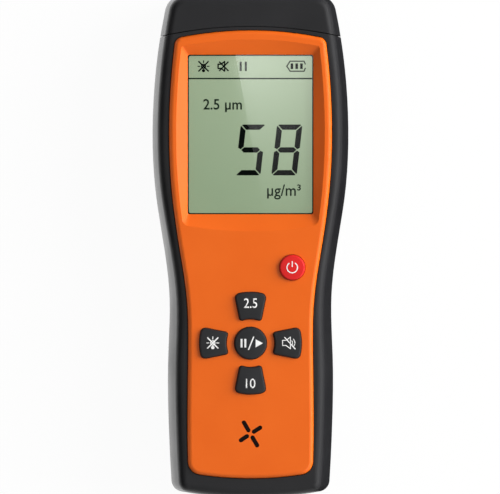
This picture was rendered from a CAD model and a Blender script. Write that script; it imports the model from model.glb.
import math

import bmesh
import bpy
from mathutils import Matrix, Vector


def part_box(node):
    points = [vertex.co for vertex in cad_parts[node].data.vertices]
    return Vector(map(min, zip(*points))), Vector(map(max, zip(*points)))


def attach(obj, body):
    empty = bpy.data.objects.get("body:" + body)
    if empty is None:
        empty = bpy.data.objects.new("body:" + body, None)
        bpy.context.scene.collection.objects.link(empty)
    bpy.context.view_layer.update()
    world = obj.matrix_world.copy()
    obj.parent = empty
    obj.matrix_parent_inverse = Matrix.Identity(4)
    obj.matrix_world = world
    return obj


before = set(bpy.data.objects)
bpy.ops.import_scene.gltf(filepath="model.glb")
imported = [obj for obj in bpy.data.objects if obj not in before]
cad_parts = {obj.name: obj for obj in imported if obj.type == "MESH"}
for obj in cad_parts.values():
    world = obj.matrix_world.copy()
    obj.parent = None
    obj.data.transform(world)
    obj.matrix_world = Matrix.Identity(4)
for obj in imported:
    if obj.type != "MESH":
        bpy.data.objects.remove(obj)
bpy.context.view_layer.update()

MM = 0.001


# ---- Camera -----------------------------------------------------------------------
# The instrument lies on its back on a pale bench and is seen from straight above with
# a long lens, so the image's up is the body's +Y and the sides hardly open out.

VIEW_WIDTH = 205.0 * MM  # what the frame spans at the body's parting line
VIEW_CENTRE = (-0.2 * MM, -0.2 * MM)
PARTING_HEIGHT = 17.5 * MM
CAMERA_HEIGHT = 5.0
camera_data = bpy.data.cameras.new("long_lens")
camera_data.sensor_width = 36.0
camera_data.lens = camera_data.sensor_width * (CAMERA_HEIGHT - PARTING_HEIGHT) / VIEW_WIDTH
camera_data.clip_end = 20.0
camera = bpy.data.objects.new("camera", camera_data)
camera.location = (*VIEW_CENTRE, CAMERA_HEIGHT)
bpy.context.scene.collection.objects.link(camera)
bpy.context.scene.camera = camera
bpy.context.scene.view_settings.view_transform = "Standard"


# ---- Bench ------------------------------------------------------------------------
# A white laminate bench top. It shows the camera, polished edges and glass a clean white,
# and takes only a faint share of the instrument's shadow.


def linear(hex_colour):
    """sRGB hex colour as a linear RGBA value."""
    parts = [int(hex_colour[i : i + 2], 16) / 255 for i in (1, 3, 5)]
    return (*(p / 12.92 if p <= 0.04045 else ((p + 0.055) / 1.055) ** 2.4 for p in parts), 1.0)


def node(material, kind, links=(), **settings):
    """Adds a node, sets its properties and inputs, and links (output, input) pairs into it."""
    made = material.node_tree.nodes.new(kind)
    for name, value in settings.items():
        if hasattr(made, name):
            setattr(made, name, value)
        else:
            made.inputs[name.replace("_", " ")].default_value = value
    for output, name in links:
        material.node_tree.links.new(output, made.inputs[name])
    return made


def blank_material(name):
    """A material with an empty node tree."""
    material = bpy.data.materials.new(name)
    material.use_nodes = True
    material.node_tree.nodes.clear()
    return material


def flat_sheet(name, corners, material):
    """A one-faced studio sheet from its corners, in metres."""
    shape = bmesh.new()
    shape.faces.new([shape.verts.new(corner) for corner in corners])
    mesh = bpy.data.meshes.new(name)
    shape.to_mesh(mesh)
    shape.free()
    mesh.materials.append(material)
    sheet = bpy.data.objects.new(name, mesh)
    bpy.context.scene.collection.objects.link(sheet)
    return sheet


BENCH_REACH = 6.0
BENCH_TOP = -0.2 * MM  # just under the case's back, so that the two don't lie in one plane
BENCH_WHITE = 0.95  # share of the camera's view of the bench that is plain white
# White melamine laminate, matt and plain. What looks at it directly or through a mirror sees
# it fully lit, as an overexposed backdrop is.
bench_finish = blank_material("white_laminate")
laminate = node(bench_finish, "ShaderNodeBsdfDiffuse", Color=linear("#F4F4F2"))
glow = node(bench_finish, "ShaderNodeEmission", Color=linear("#FFFFFF"), Strength=1.0)
path = node(bench_finish, "ShaderNodeLightPath")
camera_share = node(
    bench_finish, "ShaderNodeMath", [(path.outputs["Is Camera Ray"], 0)], operation="MULTIPLY"
)
camera_share.inputs[1].default_value = BENCH_WHITE
mirrored = node(
    bench_finish,
    "ShaderNodeMath",
    [(path.outputs["Is Glossy Ray"], 0), (path.outputs["Is Transmission Ray"], 1)],
    operation="MAXIMUM",
)
white_share = node(
    bench_finish,
    "ShaderNodeMath",
    [(camera_share.outputs[0], 0), (mirrored.outputs[0], 1)],
    operation="MAXIMUM",
)
bench_mix = node(
    bench_finish,
    "ShaderNodeMixShader",
    [(white_share.outputs[0], 0), (laminate.outputs[0], 1), (glow.outputs[0], 2)],
)
node(bench_finish, "ShaderNodeOutputMaterial", [(bench_mix.outputs[0], "Surface")])
flat_sheet(
    "bench",
    [
        (x * BENCH_REACH, y * BENCH_REACH, BENCH_TOP)
        for x, y in ((-1, -1), (1, -1), (1, 1), (-1, 1))
    ],
    bench_finish,
)


# ---- Room and key light -----------------------------------------------------------
# A grey room fills the shadows, and a broad soft box low on the right models the sunken
# display and the keys. The gloss box further down takes its place in reflections.

ROOM_LEVEL = 0.42
world = bpy.data.worlds.new("room")
world.use_nodes = True
world.node_tree.nodes["Background"].inputs["Color"].default_value = linear("#FFFFFF")
world.node_tree.nodes["Background"].inputs["Strength"].default_value = ROOM_LEVEL
bpy.context.scene.world = world

SOFT_BOX_TURN = math.radians(14)  # towards the crown from straight right
SOFT_BOX_RISE = math.radians(22)
SOFT_BOX_REACH = 1.6
SOFT_BOX_SIZE = 1.5
SOFT_BOX_POWER = 53.0
soft_box_data = bpy.data.lights.new("soft_box", "AREA")
soft_box_data.shape = "DISK"
soft_box_data.size = SOFT_BOX_SIZE
soft_box_data.energy = SOFT_BOX_POWER
soft_box = bpy.data.objects.new("soft_box", soft_box_data)
soft_box_aim = Vector(
    (
        math.cos(SOFT_BOX_RISE) * math.cos(SOFT_BOX_TURN),
        math.cos(SOFT_BOX_RISE) * math.sin(SOFT_BOX_TURN),
        math.sin(SOFT_BOX_RISE),
    )
)
soft_box.location = soft_box_aim * SOFT_BOX_REACH
soft_box.rotation_euler = soft_box_aim.to_track_quat("Z", "Y").to_euler()
soft_box.visible_glossy = False
bpy.context.scene.collection.objects.link(soft_box)


# ---- Flags and gloss boxes --------------------------------------------------------
# Cards that only reflections see. Black ones darken the right flank, the left half of the
# room and the display's window; white ones light the rounded edges and the left flank.


def shine_only(sheet):
    """Keeps a card out of everything but reflections."""
    sheet.visible_camera = False
    sheet.visible_diffuse = False
    sheet.visible_transmission = False
    sheet.visible_volume_scatter = False
    sheet.visible_shadow = False


def upright(x, y_reach, z_low, z_high):
    """Corners of a card standing across the X axis, in metres."""
    return [(x, -y_reach, z_low), (x, y_reach, z_low), (x, y_reach, z_high), (x, -y_reach, z_high)]


def lying(x_low, x_high, y_reach, z):
    """Corners of a card lying level, in metres."""
    return [(x_low, -y_reach, z), (x_high, -y_reach, z), (x_high, y_reach, z), (x_low, y_reach, z)]


def glowing(name, level):
    """An evenly lit white card's finish."""
    material = blank_material(name)
    light = node(material, "ShaderNodeEmission", Color=linear("#FFFFFF"), Strength=level)
    node(material, "ShaderNodeOutputMaterial", [(light.outputs[0], "Surface")])
    return material


# Black velvet: swallows nearly all the light, without any shine.
flag_cloth = blank_material("black_velvet")
velvet = node(flag_cloth, "ShaderNodeBsdfDiffuse", Color=linear("#161616"))
node(flag_cloth, "ShaderNodeOutputMaterial", [(velvet.outputs[0], "Surface")])
CARD_LIFT = 1.0 * MM  # of the lying cards above the bench
FLANK_REACH = 0.16  # the lying cards' half length along the body
RIGHT_FLAG = (0.030, 0.20)  # from and to, across the body
LEFT_BOUNCE = (-0.085, -0.030)
BOUNCE_LEVEL = 1.9
SIDE_REACH = 1.2  # the standing cards' half length
LEFT_FLAG_X, LEFT_FLAG_RISE = -0.8, (0.05, 1.5)
GLOSS_BOX_X, GLOSS_BOX_RISE = 0.9, (0.46, 1.6)
GLOSS_LEVEL = 2.1
shine_only(flat_sheet("right_flag", lying(*RIGHT_FLAG, FLANK_REACH, CARD_LIFT), flag_cloth))
bounce_corners = lying(*LEFT_BOUNCE, FLANK_REACH, CARD_LIFT)
shine_only(flat_sheet("left_bounce", bounce_corners, glowing("bounce", BOUNCE_LEVEL)))
flag_corners = upright(LEFT_FLAG_X, SIDE_REACH, *LEFT_FLAG_RISE)
shine_only(flat_sheet("left_flag", flag_corners, flag_cloth))
box_corners = upright(GLOSS_BOX_X, SIDE_REACH, *GLOSS_BOX_RISE)
shine_only(flat_sheet("gloss_box", box_corners, glowing("gloss_box", GLOSS_LEVEL)))

# The streak card's left edge is mirrored by the window from crown to heel, and its light
# fades towards the heel and the right. The black card behind it keeps the rest of the
# window clear.
CARD_HEIGHT, BLACK_CARD_HEIGHT = 0.8, 0.82
WINDOW_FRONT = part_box("lcd_window")[1][2]
STREAK_GLOW = 1.9  # at its brightest
STREAK_SIDE = (-7.0, 26.0)  # mm across the window, from full glow to the share below
STREAK_SIDE_SHARE = 0.5
STREAK_FADE = (0.0, 82.0)  # from nothing to full, mm up the window
STREAK_CURVE = 1.9  # power of the rise
STREAK_EDGE = ((-7.2, 84.2), (6.4, 10.0))  # its left edge on the window, mm
STREAK_RIGHT = 60.0  # its right edge, mm
BLACK_CARD = ((-34.0, 4.0), (34.0, 94.0))  # what the black card covers of the window, mm


def seen_in_window(x, y, height=CARD_HEIGHT):
    """Where a card has to be for the window to mirror it at (x, y) mm."""
    spread = (height - WINDOW_FRONT) / (CAMERA_HEIGHT - WINDOW_FRONT)
    return (
        x * MM + spread * (x * MM - VIEW_CENTRE[0]),
        y * MM + spread * (y * MM - VIEW_CENTRE[1]),
        height,
    )


# White card with a graded light on it: brightest at the top left.
streak_finish = blank_material("graded_card")
streak_place = node(streak_finish, "ShaderNodeTexCoord")
streak_axes = node(
    streak_finish, "ShaderNodeSeparateXYZ", [(streak_place.outputs["Object"], "Vector")]
)
streak_run = node(
    streak_finish,
    "ShaderNodeMapRange",
    [(streak_axes.outputs["Y"], "Value")],
    From_Min=seen_in_window(0, STREAK_FADE[0])[1],
    From_Max=seen_in_window(0, STREAK_FADE[1])[1],
)
streak_curve = node(
    streak_finish, "ShaderNodeMath", [(streak_run.outputs["Result"], 0)], operation="POWER"
)
streak_curve.inputs[1].default_value = STREAK_CURVE
streak_side = node(
    streak_finish,
    "ShaderNodeMapRange",
    [(streak_axes.outputs["X"], "Value")],
    From_Min=seen_in_window(STREAK_SIDE[0], 0)[0],
    From_Max=seen_in_window(STREAK_SIDE[1], 0)[0],
    To_Min=STREAK_GLOW,
    To_Max=STREAK_GLOW * STREAK_SIDE_SHARE,
)
streak_level = node(
    streak_finish,
    "ShaderNodeMath",
    [(streak_curve.outputs[0], 0), (streak_side.outputs["Result"], 1)],
    operation="MULTIPLY",
)
streak_light = node(
    streak_finish,
    "ShaderNodeEmission",
    [(streak_level.outputs[0], "Strength")],
    Color=linear("#FFFFFF"),
)
node(streak_finish, "ShaderNodeOutputMaterial", [(streak_light.outputs[0], "Surface")])
(top_x, top_y), (low_x, low_y) = STREAK_EDGE
streak_corners = ((top_x, top_y), (low_x, low_y), (STREAK_RIGHT, low_y), (STREAK_RIGHT, top_y))
streak_card = flat_sheet(
    "streak_card", [seen_in_window(*corner) for corner in streak_corners], streak_finish
)
(left, heel), (right, crown) = BLACK_CARD
black_corners = ((left, heel), (right, heel), (right, crown), (left, crown))
black_card = flat_sheet(
    "black_card",
    [seen_in_window(*corner, BLACK_CARD_HEIGHT) for corner in black_corners],
    flag_cloth,
)
# The glossy foil behind the pane mirrors these two as well, out through the pane.
for card in (streak_card, black_card):
    shine_only(card)
    card.visible_transmission = True


# ---- Case: rear shell, front frame and top cap ------------------------------------
# Three injection mouldings in black ABS and polycarbonate. The cap and the frame meet in a
# bowed seam, and screws from the back hold the halves together.


NOISE_LOW, NOISE_HIGH = 0.3, 0.7  # where most of a noise texture's values lie
TONE_A, TONE_B, TONE_OUT = 6, 7, 2  # the sockets of a Mix node that mixes colours


def skin(name, tones, gloss, grain, relief, drift, **surface):
    """A finish: tone and gloss wander between two ends over drift mm, and a grain in mm
    gives the relief, in mm too. What is even all over sits on the surface's own sockets."""
    material = blank_material(name)
    place = node(material, "ShaderNodeTexCoord").outputs["Object"]
    clouds = node(
        material, "ShaderNodeTexNoise", [(place, "Vector")], Scale=1 / (drift * MM), Detail=3.0
    )
    fine = node(
        material, "ShaderNodeTexNoise", [(place, "Vector")], Scale=1 / (grain * MM), Detail=2.0
    )
    run = node(
        material,
        "ShaderNodeMapRange",
        [(clouds.outputs["Fac"], "Value")],
        From_Min=NOISE_LOW,
        From_Max=NOISE_HIGH,
    )
    tone = node(material, "ShaderNodeMix", [(run.outputs["Result"], 0)], data_type="RGBA")
    tone.inputs[TONE_A].default_value = linear(tones[0])
    tone.inputs[TONE_B].default_value = linear(tones[1])
    shine = node(
        material,
        "ShaderNodeMapRange",
        [(run.outputs["Result"], "Value")],
        To_Min=gloss[0],
        To_Max=gloss[1],
    )
    bumps = node(
        material, "ShaderNodeBump", [(fine.outputs["Fac"], "Height")], Distance=relief * MM
    )
    face = node(
        material,
        "ShaderNodeBsdfPrincipled",
        [
            (tone.outputs[TONE_OUT], "Base Color"),
            (shine.outputs["Result"], "Roughness"),
            (bumps.outputs["Normal"], "Normal"),
        ],
        **surface,
    )
    node(material, "ShaderNodeOutputMaterial", [(face.outputs[0], "Surface")])
    return material


def dress(material, *names):
    """Gives CAD nodes a finish."""
    for name in names:
        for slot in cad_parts[name].material_slots:
            slot.material = material


# Spark-eroded black ABS: the tool's fine even pits leave it matt with a soft sheen on the
# rounded edges, a little shinier where hands rub it. The real 0.1 mm pits are drawn at
# 0.35 mm, so that they show.
case_black = skin(
    "spark_eroded_black_abs", ("#1B1B1D", "#222224"), (0.38, 0.46), 0.35, 0.012, 30.0, IOR=1.46
)
dress(case_black, "rear_shell", "front_frame", "top_cap")


# ---- Face plate -------------------------------------------------------------------
# One orange ABS moulding with soft edges round the sunken display and the key holes, set
# into the frame's trough and glued there.

# Fine-textured orange ABS, a little glossier than the case. The colour is in the plastic,
# so it varies only in faint flow clouds. Its 0.1 mm texture is drawn at 0.3 mm.
face_orange = skin(
    "satin_orange_abs", ("#E66203", "#EA6605"), (0.36, 0.44), 0.3, 0.006, 22.0, IOR=1.46
)
dress(face_orange, "face_plate")


# ---- Display window ---------------------------------------------------------------
# A clear cast acrylic pane, seated behind the opening by its flange. A black line is
# screen-printed round its back, and hides the display's edge.

WIPE_MARK = 12.0 * MM
WIPE_HAZE = 0.02  # roughness where it is most wiped
PANE_IOR = 1.49
# Clear hard-coated acrylic: it mirrors the room sharply, with wiping marks that hardly dull
# it. Lamps and soft light pass it straight to the panel behind.
window_clear = blank_material("clear_acrylic")
pane_place = node(window_clear, "ShaderNodeTexCoord").outputs["Object"]
wipes = node(
    window_clear,
    "ShaderNodeTexNoise",
    [(pane_place, "Vector")],
    Scale=1 / WIPE_MARK,
    Detail=1.0,
)
polish = node(
    window_clear,
    "ShaderNodeMapRange",
    [(wipes.outputs["Fac"], "Value")],
    From_Min=NOISE_LOW,
    From_Max=NOISE_HIGH,
    To_Min=0.0,
    To_Max=WIPE_HAZE,
)
pane = node(
    window_clear,
    "ShaderNodeBsdfPrincipled",
    [(polish.outputs["Result"], "Roughness")],
    Base_Color=linear("#FAFFFA"),
    IOR=PANE_IOR,
    Transmission_Weight=1.0,
)
lamp_path = node(window_clear, "ShaderNodeLightPath")
lets_light = node(
    window_clear,
    "ShaderNodeMath",
    [(lamp_path.outputs["Is Shadow Ray"], 0), (lamp_path.outputs["Is Diffuse Ray"], 1)],
    operation="MAXIMUM",
)
clear = node(window_clear, "ShaderNodeBsdfTransparent", Color=linear("#FAFBFA"))
pane_mix = node(
    window_clear,
    "ShaderNodeMixShader",
    [(lets_light.outputs[0], 0), (pane.outputs[0], 1), (clear.outputs[0], 2)],
)
node(window_clear, "ShaderNodeOutputMaterial", [(pane_mix.outputs[0], "Surface")])
dress(window_clear, "lcd_window")


def shaped(name, shape, material, body):
    """Makes a bmesh in millimetres a piece in metres, with its finish, body and slot."""
    bmesh.ops.recalc_face_normals(shape, faces=shape.faces)
    bmesh.ops.scale(shape, vec=(MM, MM, MM), verts=shape.verts)
    mesh = bpy.data.meshes.new(name)
    shape.to_mesh(mesh)
    shape.free()
    mesh.materials.append(material)
    made = bpy.data.objects.new(name, mesh)
    bpy.context.scene.collection.objects.link(made)
    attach(made, body)


WINDOW_FLANGE = 1.4  # mm, how far the pane's flange reaches past the opening
WINDOW_FIT = 0.12  # the opening's play round the pane
LINE_WIDTH = 0.36  # of the printed line that shows inside the opening
LINE_CORNER, LINE_CORNER_STEPS = 2.6, 4  # of its outer edge
LINE_THICKNESS = 0.03
LINE_GAP = 0.04  # below the pane's back
# Black screen ink, slightly uneven where the mesh laid it down. It lies against the pane,
# so it has no shine of its own.
line_black = skin(
    "black_screen_ink",
    ("#0D0E0D", "#121312"),
    (0.5, 0.6),
    0.2,
    0.002,
    6.0,
    Specular_IOR_Level=0.0,
)
pane_low, pane_high = (Vector(corner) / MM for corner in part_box("lcd_window"))
pane_size = pane_high - pane_low
pane_middle = (pane_low + pane_high) / 2
rim = bmesh.new()
corners = bmesh.ops.create_grid(rim, x_segments=1, y_segments=1, size=0.5)["verts"]
bmesh.ops.scale(rim, vec=(pane_size.x, pane_size.y, 1), verts=corners)
bmesh.ops.translate(
    rim, vec=(pane_middle.x, pane_middle.y, pane_low.z - LINE_GAP), verts=corners
)
bmesh.ops.bevel(
    rim,
    geom=corners,
    offset=LINE_CORNER,
    segments=LINE_CORNER_STEPS,
    profile=0.5,
    affect="VERTICES",
    material=-1,
)
clear_part = list(rim.faces)
bmesh.ops.inset_region(
    rim, faces=clear_part, thickness=WINDOW_FLANGE + WINDOW_FIT + LINE_WIDTH, use_boundary=True
)
bmesh.ops.delete(rim, geom=clear_part, context="FACES_ONLY")
grown = bmesh.ops.extrude_face_region(rim, geom=list(rim.faces), use_keep_orig=True)
lifted = [part for part in grown["geom"] if isinstance(part, bmesh.types.BMVert)]
bmesh.ops.translate(rim, vec=(0, 0, -LINE_THICKNESS), verts=lifted)
shaped("window_line", rim, line_black, "housing")


# ---- Display panel ----------------------------------------------------------------
# A glass sandwich with a grey-green polariser foil on its front, lit from behind by a
# milky light guide.

FOIL_GRAIN = 0.5 * MM
FOIL_SPECK = 0.03  # how much the grain lightens and darkens it
FOIL_SLANT = (11.0, 13.0, 0.0)  # the foil's tone rises this much a metre along X, Y and Z
FOIL_RUN = (0.1, 1.33)  # from the darker tone to the lighter one
FOIL_ROUGHNESS = 0.05
PANEL_GLOW = 0.7  # share of its light that comes from the guide behind it
FOIL_STACK_IOR = 2.0  # foil, glass and half-mirror together shine like one denser layer
# Polariser foil on glass: an even grey-green with a faint reflector grain, lighter towards
# the crown and the right. It is glossy, but the dark figures cover its shine.
panel_green = blank_material("polariser_foil")
foil_place = node(panel_green, "ShaderNodeTexCoord").outputs["Object"]
foil_grain = node(
    panel_green,
    "ShaderNodeTexNoise",
    [(foil_place, "Vector")],
    Scale=1 / FOIL_GRAIN,
    Detail=2.0,
)
foil_slant = node(
    panel_green, "ShaderNodeVectorMath", [(foil_place, 0)], operation="DOT_PRODUCT"
)
foil_slant.inputs[1].default_value = FOIL_SLANT
foil_run = node(
    panel_green,
    "ShaderNodeMapRange",
    [(foil_slant.outputs["Value"], "Value")],
    From_Min=FOIL_RUN[0],
    From_Max=FOIL_RUN[1],
)
foil_tone = node(
    panel_green, "ShaderNodeMix", [(foil_run.outputs["Result"], 0)], data_type="RGBA"
)
foil_tone.inputs[TONE_A].default_value = linear("#9AAB8E")
foil_tone.inputs[TONE_B].default_value = linear("#B1BFA4")
foil_specks = node(
    panel_green,
    "ShaderNodeMapRange",
    [(foil_grain.outputs["Fac"], "Value")],
    To_Min=1 - FOIL_SPECK,
    To_Max=1 + FOIL_SPECK,
)
foil_colour = node(
    panel_green,
    "ShaderNodeVectorMath",
    [(foil_tone.outputs[TONE_OUT], 0), (foil_specks.outputs["Result"], "Scale")],
    operation="SCALE",
)
foil_front = node(
    panel_green,
    "ShaderNodeVectorMath",
    [(foil_colour.outputs["Vector"], 0)],
    operation="SCALE",
    Scale=1 - PANEL_GLOW,
)
foil = node(
    panel_green,
    "ShaderNodeBsdfPrincipled",
    [
        (foil_front.outputs["Vector"], "Base Color"),
        (foil_colour.outputs["Vector"], "Emission Color"),
    ],
    Emission_Strength=PANEL_GLOW,
    Roughness=FOIL_ROUGHNESS,
    IOR=FOIL_STACK_IOR,
)
node(panel_green, "ShaderNodeOutputMaterial", [(foil.outputs[0], "Surface")])
dress(panel_green, "lcd_panel")


# ---- Display figures --------------------------------------------------------------
# The dark shapes of the liquid-crystal display: two slanted seven-segment digits, their
# unit and size, a status row and its rule. Each is a thin dark film just over the foil.

FILM_GAP = 0.02  # mm above the foil
FILM_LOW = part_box("lcd_panel")[1][2] / MM + FILM_GAP
FILM_THICKNESS = 0.03
FILM_STEP = 0.0002  # mm a vertex, so that no two shapes' tops lie in one plane
FILM_GRAIN = 0.5
DOT_SIDES = 20
ARC_STEP, ARC_LEAST = 12, 8  # degrees a step, and the fewest steps


def height_of(shape):
    """A film's thickness: each shape stands a hair higher than the one before."""
    return FILM_THICKNESS + FILM_STEP * len(shape.verts)


def plate(shape, outline):
    """Adds a thin plate from its few corners; returns its vertices."""
    thickness = height_of(shape)
    low = [shape.verts.new((x, y, 0)) for x, y in outline]
    grown = bmesh.ops.extrude_face_region(shape, geom=[shape.faces.new(low)], use_keep_orig=True)
    high = [part for part in grown["geom"] if isinstance(part, bmesh.types.BMVert)]
    bmesh.ops.translate(shape, vec=(0, 0, thickness), verts=high)
    return low + high


def stroke(shape, start, end, width):
    """Adds a straight stroke."""
    along = Vector(end) - Vector(start)
    thickness = height_of(shape)
    slab = bmesh.ops.create_cube(shape, size=1.0)["verts"]
    bmesh.ops.scale(shape, vec=(along.length, width, thickness), verts=slab)
    turn = Matrix.Rotation(math.atan2(along.y, along.x), 3, "Z")
    bmesh.ops.rotate(shape, matrix=turn, verts=slab)
    middle = (Vector(start) + Vector(end)) / 2
    bmesh.ops.translate(shape, vec=(*middle, thickness / 2), verts=slab)


def dot(shape, centre, radius):
    """Adds a round dot."""
    thickness = height_of(shape)
    round_slab = bmesh.ops.create_cone(
        shape, cap_ends=True, segments=DOT_SIDES, radius1=radius, radius2=radius, depth=thickness
    )["verts"]
    bmesh.ops.translate(shape, vec=(*centre, thickness / 2), verts=round_slab)


def arc(shape, centre, radius, width, start, sweep):
    """Adds part of a ring: its square end, spun about the centre by sweep degrees."""
    thickness = height_of(shape)
    before = set(shape.verts)
    end = bmesh.ops.create_grid(shape, x_segments=1, y_segments=1, size=0.5)["verts"]
    bmesh.ops.scale(shape, vec=(width, thickness, 1), verts=end)
    bmesh.ops.rotate(shape, matrix=Matrix.Rotation(math.pi / 2, 3, "X"), verts=end)
    bmesh.ops.translate(shape, vec=(radius, 0, thickness / 2), verts=end)
    bmesh.ops.rotate(shape, matrix=Matrix.Rotation(math.radians(start), 3, "Z"), verts=end)
    edges = {edge for vert in end for edge in vert.link_edges}
    faces = {face for vert in end for face in vert.link_faces}
    full = sweep == 360
    if full:
        bmesh.ops.delete(shape, geom=list(faces), context="FACES_ONLY")
        faces = set()
    bmesh.ops.spin(
        shape,
        geom=[*end, *edges, *faces],
        cent=(0, 0, 0),
        axis=(0, 0, 1),
        angle=math.radians(sweep),
        steps=max(ARC_LEAST, round(abs(sweep) / ARC_STEP)),
        use_merge=full,
    )
    made = [vert for vert in shape.verts if vert not in before]
    bmesh.ops.translate(shape, vec=(*centre, 0), verts=made)


def run_of_strokes(shape, corners, width):
    """Adds a stroke between each two corners that follow each other, and a dot at each."""
    for start, end in zip(corners, corners[1:]):
        stroke(shape, start, end, width)
    for corner in corners:
        dot(shape, corner, width / 2)


# Liquid crystal driven fully dark, as the digits and icons are: near black, with a trace
# of the foil's grain. It lies between the glasses, so it has no shine of its own.
crystal_dark = skin(
    "dark_liquid_crystal",
    ("#070A09", "#0C100E"),
    (0.5, 0.55),
    FILM_GRAIN,
    0.001,
    3.0,
    Specular_IOR_Level=0.0,
)
# Crystal in the labels and the rule, which passes a little of the foil's green.
fine_dark = skin(
    "fine_liquid_crystal",
    ("#1E2A21", "#243228"),
    (0.5, 0.55),
    FILM_GRAIN,
    0.001,
    3.0,
    Specular_IOR_Level=0.0,
)


def on_panel(name, shape, material):
    """Lays a flat bmesh on the foil as a display figure."""
    bmesh.ops.translate(shape, vec=(0, 0, FILM_LOW), verts=shape.verts)
    shaped(name, shape, material, "housing")


SLANT = math.tan(math.radians(6.5))  # of the digits
DIGIT_WIDTH, DIGIT_HEIGHT, DIGIT_MIDDLE = 10.4, 20.8, 39.5
BAR_ACROSS, BAR_UP, SEGMENT_GAP = 2.15, 2.25, 0.38
CLIPPED = 0.62  # how much the segments' outer corners are cut back
HALF_WIDE, HALF_HIGH, MITRE = DIGIT_WIDTH / 2, DIGIT_HEIGHT / 2, SEGMENT_GAP / math.sqrt(2)
TOP_SEGMENT = [
    (-HALF_WIDE + CLIPPED + MITRE, HALF_HIGH),
    (HALF_WIDE - CLIPPED - MITRE, HALF_HIGH),
    (HALF_WIDE - CLIPPED / 2 - MITRE, HALF_HIGH - CLIPPED / 2),
    (HALF_WIDE - BAR_ACROSS - MITRE, HALF_HIGH - BAR_ACROSS),
    (-HALF_WIDE + BAR_ACROSS + MITRE, HALF_HIGH - BAR_ACROSS),
    (-HALF_WIDE + CLIPPED / 2 + MITRE, HALF_HIGH - CLIPPED / 2),
]
MIDDLE_SEGMENT = [
    (-HALF_WIDE + BAR_ACROSS / 2 + MITRE, 0),
    (-HALF_WIDE + BAR_ACROSS + MITRE, BAR_ACROSS / 2),
    (HALF_WIDE - BAR_ACROSS - MITRE, BAR_ACROSS / 2),
    (HALF_WIDE - BAR_ACROSS / 2 - MITRE, 0),
    (HALF_WIDE - BAR_ACROSS - MITRE, -BAR_ACROSS / 2),
    (-HALF_WIDE + BAR_ACROSS + MITRE, -BAR_ACROSS / 2),
]
SIDE_SEGMENT = [
    (HALF_WIDE, HALF_HIGH - CLIPPED - MITRE),
    (HALF_WIDE - CLIPPED / 2, HALF_HIGH - CLIPPED / 2 - MITRE),
    (HALF_WIDE - BAR_UP, HALF_HIGH - BAR_UP - MITRE),
    (HALF_WIDE - BAR_UP, BAR_ACROSS / 2 + MITRE),
    (HALF_WIDE - BAR_ACROSS / 2, MITRE),
    (HALF_WIDE, MITRE + CLIPPED),
]
# Each lit segment is one of the three, turned over across X and Y as its signs say.
FIVE = (
    (TOP_SEGMENT, 1, 1),
    (SIDE_SEGMENT, -1, 1),
    (MIDDLE_SEGMENT, 1, 1),
    (SIDE_SEGMENT, 1, -1),
    (TOP_SEGMENT, 1, -1),
)
EIGHT = (*FIVE, (SIDE_SEGMENT, 1, 1), (SIDE_SEGMENT, -1, -1))
TENS_X, UNITS_X = 0.05, 14.9
for name, lit, place in (("digit_tens", FIVE, TENS_X), ("digit_units", EIGHT, UNITS_X)):
    digit = bmesh.new()
    for outline, flip_x, flip_y in lit:
        bmesh.ops.scale(digit, vec=(flip_x, flip_y, 1), verts=plate(digit, outline))
    lean = Matrix(((1, SLANT, 0, 0), (0, 1, 0, 0), (0, 0, 1, 0), (0, 0, 0, 1)))
    bmesh.ops.transform(digit, matrix=lean, verts=digit.verts)
    bmesh.ops.translate(digit, vec=(place, DIGIT_MIDDLE, 0), verts=digit.verts)
    on_panel(name, digit, crystal_dark)


def cross_lamp(shape, centre, reach, width):
    """Adds a crossed-out lamp: a cross, three rays, a bulb and its foot."""
    cx, cy = centre
    arm, ray, bulb = reach * 0.86, reach * 0.55, reach * 0.34
    foot_drop, foot = reach * 0.72, reach * 0.27
    ray_width, bulb_width = width * 0.7, width * 0.8
    stroke(shape, (cx - arm, cy - arm), (cx + arm, cy + arm), width)
    stroke(shape, (cx - arm, cy + arm), (cx + arm, cy - arm), width)
    stroke(shape, (cx - reach, cy), (cx - ray, cy), ray_width)
    stroke(shape, (cx + ray, cy), (cx + reach, cy), ray_width)
    stroke(shape, (cx, cy + ray), (cx, cy + reach), ray_width)
    arc(shape, centre, bulb, bulb_width, 0, 360)
    dot(shape, (cx, cy - foot_drop), foot)


def speaker(shape, centre, size, width):
    """Adds a loudspeaker's box and horn."""
    cx, cy = centre
    box = ((-0.22, 0.2), (-0.5, 0.2), (-0.5, -0.2), (-0.22, -0.2))
    horn = ((-0.22, -0.2), (0.12, -0.46), (0.12, 0.46), (-0.22, 0.2))
    for part in (box, horn):
        run_of_strokes(shape, [(cx + x * size, cy + y * size) for x, y in part], width)


STATUS_Y = 73.7
LAMP_X, LAMP_REACH, LAMP_LINE = -19.2, 2.45, 0.6
SPEAKER_X, SPEAKER_SIZE, SPEAKER_LINE = -11.1, 4.3, 0.55
STRIKE_LEFT, STRIKE_RIGHT, STRIKE_RISE = 1.7, 2.1, 1.9  # reach of the cross over the speaker
PAUSE_BARS, PAUSE_HALF, PAUSE_WIDTH = (-4.0, -1.9), 1.9, 0.85
BATTERY_BARS, BATTERY_BAR_WIDTH = (16.95, 18.9, 20.85), 1.05
BATTERY_LOW, BATTERY_HIGH = 72.6, 74.9
BATTERY_LINE = 0.48
BATTERY_OUTLINE = (
    (22.4, 74.6),
    (21.9, 75.8),
    (16.2, 75.8),
    (14.85, 73.75),
    (16.2, 71.7),
    (21.9, 71.7),
    (22.4, 72.9),
)
status = bmesh.new()
cross_lamp(status, (LAMP_X, STATUS_Y), LAMP_REACH, LAMP_LINE)
speaker(status, (SPEAKER_X, STATUS_Y), SPEAKER_SIZE, SPEAKER_LINE)
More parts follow.
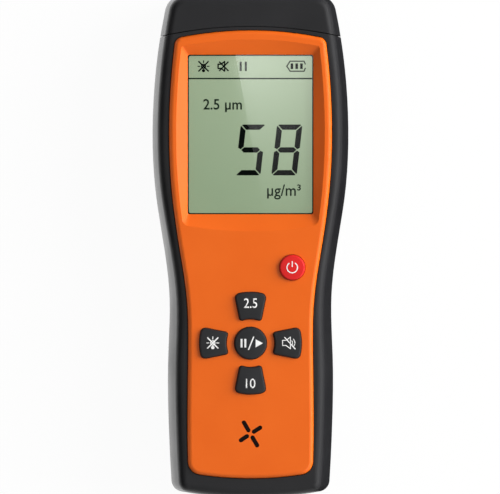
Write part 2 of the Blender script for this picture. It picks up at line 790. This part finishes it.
for side in (-1, 1):
    stroke(
        status,
        (SPEAKER_X - STRIKE_LEFT, STATUS_Y + side * STRIKE_RISE),
        (SPEAKER_X + STRIKE_RIGHT, STATUS_Y - side * STRIKE_RISE),
        SPEAKER_LINE,
    )
for x in PAUSE_BARS:
    stroke(status, (x, STATUS_Y - PAUSE_HALF), (x, STATUS_Y + PAUSE_HALF), PAUSE_WIDTH)
run_of_strokes(status, BATTERY_OUTLINE, BATTERY_LINE)
for x in BATTERY_BARS:
    stroke(status, (x, BATTERY_LOW), (x, BATTERY_HIGH), BATTERY_BAR_WIDTH)
on_panel("status_row", status, crystal_dark)

RULE_HALF, RULE_Y, RULE_WIDTH = 25.6, 68.7, 0.6
rule = bmesh.new()
stroke(rule, (-RULE_HALF, RULE_Y), (RULE_HALF, RULE_Y), RULE_WIDTH)
on_panel("status_rule", rule, fine_dark)


FIGURE_CURVE_STEPS = 4
SAME_POINT = 1e-5  # vertices nearer than this are one


def figures(name, text, cap, width, left, base, bold=0.0):
    """Plain figures as a thin flat bmesh, fitted to a cap height and a width in mm."""
    curve = bpy.data.curves.new(name, "FONT")
    curve.body = text
    curve.resolution_u = FIGURE_CURVE_STEPS
    curve.offset = bold
    holder = bpy.data.objects.new(name, curve)
    mesh = bpy.data.meshes.new_from_object(holder)
    bpy.data.objects.remove(holder)
    bpy.data.curves.remove(curve)
    shape = bmesh.new()
    shape.from_mesh(mesh)
    bpy.data.meshes.remove(mesh)
    bmesh.ops.remove_doubles(shape, verts=shape.verts, dist=SAME_POINT)
    start = min(vert.co.x for vert in shape.verts)
    end = max(vert.co.x for vert in shape.verts)
    top = max(vert.co.y for vert in shape.verts)
    bmesh.ops.translate(shape, vec=(-start, 0, 0), verts=shape.verts)
    bmesh.ops.scale(shape, vec=(width / (end - start), cap / top, 1), verts=shape.verts)
    bmesh.ops.translate(shape, vec=(left, base, 0), verts=shape.verts)
    grown = bmesh.ops.extrude_face_region(shape, geom=list(shape.faces), use_keep_orig=True)
    high = [part for part in grown["geom"] if isinstance(part, bmesh.types.BMVert)]
    bmesh.ops.translate(shape, vec=(0, 0, FILM_THICKNESS), verts=high)
    return shape


size_label = figures(
    "size_label", "2.5 µm", cap=4.27, width=15.8, left=-19.3, base=56.1, bold=0.014
)
on_panel("size_label", size_label, fine_dark)
unit_label = figures("unit_label", "µg/m³", cap=4.6, width=13.8, left=6.8, base=20.8, bold=0.01)
on_panel("unit_label", unit_label, fine_dark)


# ---- Keys and their legends -------------------------------------------------------
# Six moulded keys stand through the face: five black ones and a red one for power. Each top
# is a shallow dome, and its white legend is pad-printed on it.

KEY_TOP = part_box("run_pause_key")[1][2] / MM
DOME_RADIUS = 60.0
KEY_PLACES = {
    "run_pause": (0.0, -39.5),
    "fine_channel": (0.0, -24.125),
    "coarse_channel": (0.0, -54.875),
    "backlight": (-15.375, -39.5),
    "mute": (15.375, -39.5),
    "power": (17.1, -8.6),
}
# Soft-touch coated black ABS: dull and even, with a slight sheen on the rounded edges.
key_black = skin(
    "soft_touch_black", ("#1E1F21", "#242527"), (0.46, 0.54), 0.22, 0.004, 8.0, IOR=1.46
)
dress(key_black, *(f"{name}_key" for name in KEY_PLACES if name != "power"))
# Red ABS from a polished tool: a satin shine that softens the rim.
key_red = skin("satin_red_abs", ("#D41817", "#DC1C1B"), (0.34, 0.4), 0.22, 0.003, 8.0, IOR=1.46)
dress(key_red, "power_key")

INK_SUNK = 0.02  # mm that the print's underside sits in the key
INK_CUT_PITCH, INK_CUTS = 0.8, 5  # the print is cut into a grid that can follow the dome
# White pad-printing ink, thick enough to hide the plastic, and matt.
print_white = skin(
    "white_pad_print", ("#E9E9E7", "#F2F2F0"), (0.48, 0.55), 0.2, 0.001, 1.5, IOR=1.46
)


def printed(name, shape, key):
    """Drapes a flat bmesh over a key's dome and fixes it to that key."""
    x, y = KEY_PLACES[key]
    for step in range(-INK_CUTS, INK_CUTS + 1):
        for across in ((1, 0, 0), (0, 1, 0)):
            geometry = [*shape.verts, *shape.edges, *shape.faces]
            cut = (x + step * INK_CUT_PITCH, y + step * INK_CUT_PITCH, 0)
            bmesh.ops.bisect_plane(shape, geom=geometry, plane_co=cut, plane_no=across)
    for vert in shape.verts:
        off = math.hypot(vert.co.x - x, vert.co.y - y)
        vert.co.z += KEY_TOP - DOME_RADIUS + math.sqrt(DOME_RADIUS**2 - off**2) - INK_SUNK
    shaped(name, shape, print_white, f"{key}_button")


fine_legend = figures(
    "fine_legend", "2.5", cap=3.9, width=5.4, left=-2.7, base=-25.05, bold=0.004
)
printed("fine_legend", fine_legend, "fine_channel")
coarse_legend = figures(
    "coarse_legend", "10", cap=3.9, width=3.9, left=-1.95, base=-57.85, bold=0.004
)
printed("coarse_legend", coarse_legend, "coarse_channel")

RUN_Y = KEY_PLACES["run_pause"][1]
RUN_BARS, RUN_BAR_HALF, RUN_BAR_WIDTH = (-3.65, -2.1), 1.75, 0.8
SLASH_LOW, SLASH_HIGH, SLASH_WIDTH = (-0.85, RUN_Y - 2.75), (1.35, RUN_Y + 2.7), 0.5
RUN_ARROW = [(2.1, RUN_Y + 1.6), (2.1, RUN_Y - 1.7), (5.1, RUN_Y)]
run_legend = bmesh.new()
for x in RUN_BARS:
    stroke(run_legend, (x, RUN_Y - RUN_BAR_HALF), (x, RUN_Y + RUN_BAR_HALF), RUN_BAR_WIDTH)
stroke(run_legend, SLASH_LOW, SLASH_HIGH, SLASH_WIDTH)
plate(run_legend, RUN_ARROW)
printed("run_legend", run_legend, "run_pause")

BACKLIGHT_ICON, BACKLIGHT_REACH, BACKLIGHT_LINE = (-15.4, -39.4), 2.6, 0.5
backlight_legend = bmesh.new()
cross_lamp(backlight_legend, BACKLIGHT_ICON, BACKLIGHT_REACH, BACKLIGHT_LINE)
printed("backlight_legend", backlight_legend, "backlight")

MUTE_X, MUTE_Y, MUTE_SIZE, MUTE_LINE = 15.7, -39.4, 5.2, 0.34
WAVE_OFFSET, WAVE_RADII, WAVE_LINE = 0.26, (1.248, 2.184), 0.3
WAVE_START, WAVE_SWEEP = -48, 96  # degrees
MUTE_STRIKE, STRIKE_LINE = ((-1.87, 2.4), (2.6, -2.5)), 0.42  # its ends from the icon's middle
mute_legend = bmesh.new()
speaker(mute_legend, (MUTE_X, MUTE_Y), MUTE_SIZE, MUTE_LINE)
for radius in WAVE_RADII:
    arc(mute_legend, (MUTE_X + WAVE_OFFSET, MUTE_Y), radius, WAVE_LINE, WAVE_START, WAVE_SWEEP)
stroke(mute_legend, *((MUTE_X + x, MUTE_Y + y) for x, y in MUTE_STRIKE), STRIKE_LINE)
printed("mute_legend", mute_legend, "mute")

POWER_X, POWER_Y, POWER_RING, POWER_LINE = 17.06, -8.6, 2.15, 0.45
RING_START, RING_SWEEP = 122, 296  # degrees
POWER_BAR = (0.3, 2.6)  # its ends above the icon's middle
power_legend = bmesh.new()
arc(power_legend, (POWER_X, POWER_Y), POWER_RING, POWER_LINE, RING_START, RING_SWEEP)
stroke(power_legend, *((POWER_X, POWER_Y + y) for y in POWER_BAR), POWER_LINE)
printed("power_legend", power_legend, "power")


# ---- Display's carrier, light guide and contact strip -----------------------------
# The glass sits in a moulded carrier on the main board. A milky guide spreads the lamp
# behind it, and a rubber strip brings its signals.

# Black nylon, matt and faintly mottled by its glass fibres.
carrier_nylon = skin(
    "black_glass_filled_nylon", ("#161617", "#1C1C1E"), (0.45, 0.58), 0.4, 0.008, 5.0, IOR=1.53
)
dress(carrier_nylon, "lcd_holder")
# Milky acrylic: bright and even, with a soft gloss.
milky_guide = skin(
    "milky_acrylic", ("#E6E6DE", "#F0F0EA"), (0.3, 0.38), 0.8, 0.004, 4.0, IOR=1.49
)
dress(milky_guide, "backlight_plate")
# Layered silicone: fine dark and pale stripes blur to a dull grey.
striped_rubber = skin(
    "striped_silicone", ("#3A3C40", "#6E7076"), (0.55, 0.7), 0.2, 0.006, 0.3, IOR=1.41
)
dress(striped_rubber, "lcd_contact_strip")


# ---- Main board -------------------------------------------------------------------
# A glass-epoxy board behind the keys carries the chips, the key switches with their white
# plungers, the sounder and the plugs' headers.

# Green solder mask: glossy, with the copper beneath showing as a darker and lighter mottle.
solder_mask = skin(
    "green_solder_mask", ("#195A30", "#1F6B3A"), (0.25, 0.35), 1.2, 0.02, 1.2, IOR=1.5
)
dress(solder_mask, "main_board", "sensor_board")
# Moulded epoxy: charcoal, finely pitted, dull.
chip_epoxy = skin("black_epoxy", ("#1A1B1D", "#222426"), (0.4, 0.5), 0.3, 0.006, 2.0, IOR=1.55)
dress(chip_epoxy, "board_chips")
# Black PBT switch bodies with a plain moulded sheen.
switch_pbt = skin(
    "black_switch_pbt", ("#141415", "#1B1B1C"), (0.35, 0.45), 0.3, 0.005, 2.0, IOR=1.5
)
dress(switch_pbt, "switch_bases")
# White acetal: waxy, smooth and bright.
plunger_acetal = skin(
    "white_acetal", ("#E4E4DE", "#EFEFEA"), (0.3, 0.4), 0.5, 0.004, 3.0, IOR=1.48
)
dress(plunger_acetal, *(f"{name}_plunger" for name in KEY_PLACES))
# Black PPE sounder can, satin, seen through the slots below the keys.
sounder_ppe = skin("black_ppe", ("#121314", "#18191B"), (0.38, 0.48), 0.4, 0.008, 4.0, IOR=1.5)
dress(sounder_ppe, "sounder")
# Open-cell foam: dark, rough and without shine.
gasket_foam = skin("charcoal_foam", ("#2E3033", "#4A4C50"), (0.9, 1.0), 0.5, 0.12, 0.8, IOR=1.3)
dress(gasket_foam, "sounder_gasket", "port_gasket", "sensor_pad")
# Cream nylon headers, slightly translucent in life and smooth to the eye.
header_nylon = skin("cream_nylon", ("#DDD5BC", "#E9E2CC"), (0.4, 0.5), 0.6, 0.005, 3.0, IOR=1.53)
dress(header_nylon, "battery_header", "sensor_header", "sensor_socket")


# ---- Cell, leads and charging socket ----------------------------------------------
# A lithium cell in shrink wrap feeds the board by a sleeved lead, and is charged through a
# socket in the case.

# Blue shrink wrap: glossy film that ripples slightly where it has drawn tight.
cell_wrap = skin("blue_shrink_wrap", ("#1A5299", "#1F5FB0"), (0.24, 0.34), 6.0, 0.08, 8.0, IOR=1.54)
dress(cell_wrap, "battery_cell")
# Dark PVC sleeves, matt from handling.
lead_sleeve = skin(
    "dark_pvc_sleeve", ("#2A2B2D", "#3A3B3E"), (0.45, 0.55), 0.6, 0.01, 2.0, IOR=1.53
)
dress(lead_sleeve, "battery_lead", "sensor_cable")
# Nickel-plated steel shell: bright and smooth with drawing marks.
socket_nickel = skin(
    "nickel_plated_steel", ("#B4B6B9", "#C9CACC"), (0.2, 0.3), 0.4, 0.003, 1.5, Metallic=1.0
)
dress(socket_nickel, "charge_socket")
# Black LCP tongue, matt.
tongue_black = skin("black_lcp", ("#17181A", "#1E1F21"), (0.38, 0.46), 0.3, 0.004, 1.0, IOR=1.6)
dress(tongue_black, "charge_tongue")


# ---- Particle sensor --------------------------------------------------------------
# Under the cap, a grey box holds a laser in a brass barrel and a small fan that draws air
# in through screened slots.

# Grey ABS from a plain textured tool.
sensor_abs = skin("grey_sensor_abs", ("#515459", "#5B5E63"), (0.4, 0.5), 0.4, 0.008, 6.0, IOR=1.54)
dress(sensor_abs, "sensor_case")
# Tinned steel lid and woven screens: a soft grey shine with a crystalline mottle.
tinned_steel = skin(
    "tinned_steel", ("#A7A9AC", "#BDBFC1"), (0.3, 0.42), 0.6, 0.004, 1.0, Metallic=1.0
)
dress(tinned_steel, "sensor_lid", "dust_screens")
# Turned brass: warm and bright, with fine lathe marks.
turned_brass = skin(
    "turned_brass", ("#B08B45", "#C9A35A"), (0.24, 0.32), 0.2, 0.004, 2.0, Metallic=1.0
)
dress(turned_brass, "laser_barrel")
# Ground steel shaft: nearly mirror bright.
ground_steel = skin(
    "ground_steel", ("#BABCBF", "#D0D1D3"), (0.16, 0.24), 0.2, 0.002, 1.0, Metallic=1.0
)
dress(ground_steel, "fan_shaft")
# Enamelled copper wire: reddish brown turns, each catching a thin line of light.
copper_winding = skin(
    "enamelled_copper", ("#8F4A20", "#B4642F"), (0.3, 0.4), 0.35, 0.04, 0.7, Metallic=1.0
)
dress(copper_winding, "fan_motor")
# Black PBT impeller with a moulded sheen on its blades.
fan_pbt = skin("black_fan_pbt", ("#151617", "#1D1E20"), (0.35, 0.45), 0.4, 0.006, 5.0, IOR=1.5)
dress(fan_pbt, "fan_rotor")


# ---- Screws -----------------------------------------------------------------------
# Cross-recessed self-tapping screws hold the case from the back and the board inside.

# Zinc-plated steel: pale grey with a soft cloudy shine.
zinc_steel = skin(
    "zinc_plated_steel", ("#9DA0A5", "#B9BCC0"), (0.25, 0.36), 0.4, 0.004, 1.5, Metallic=1.0
)
dress(zinc_steel, "case_screws", "board_screws")
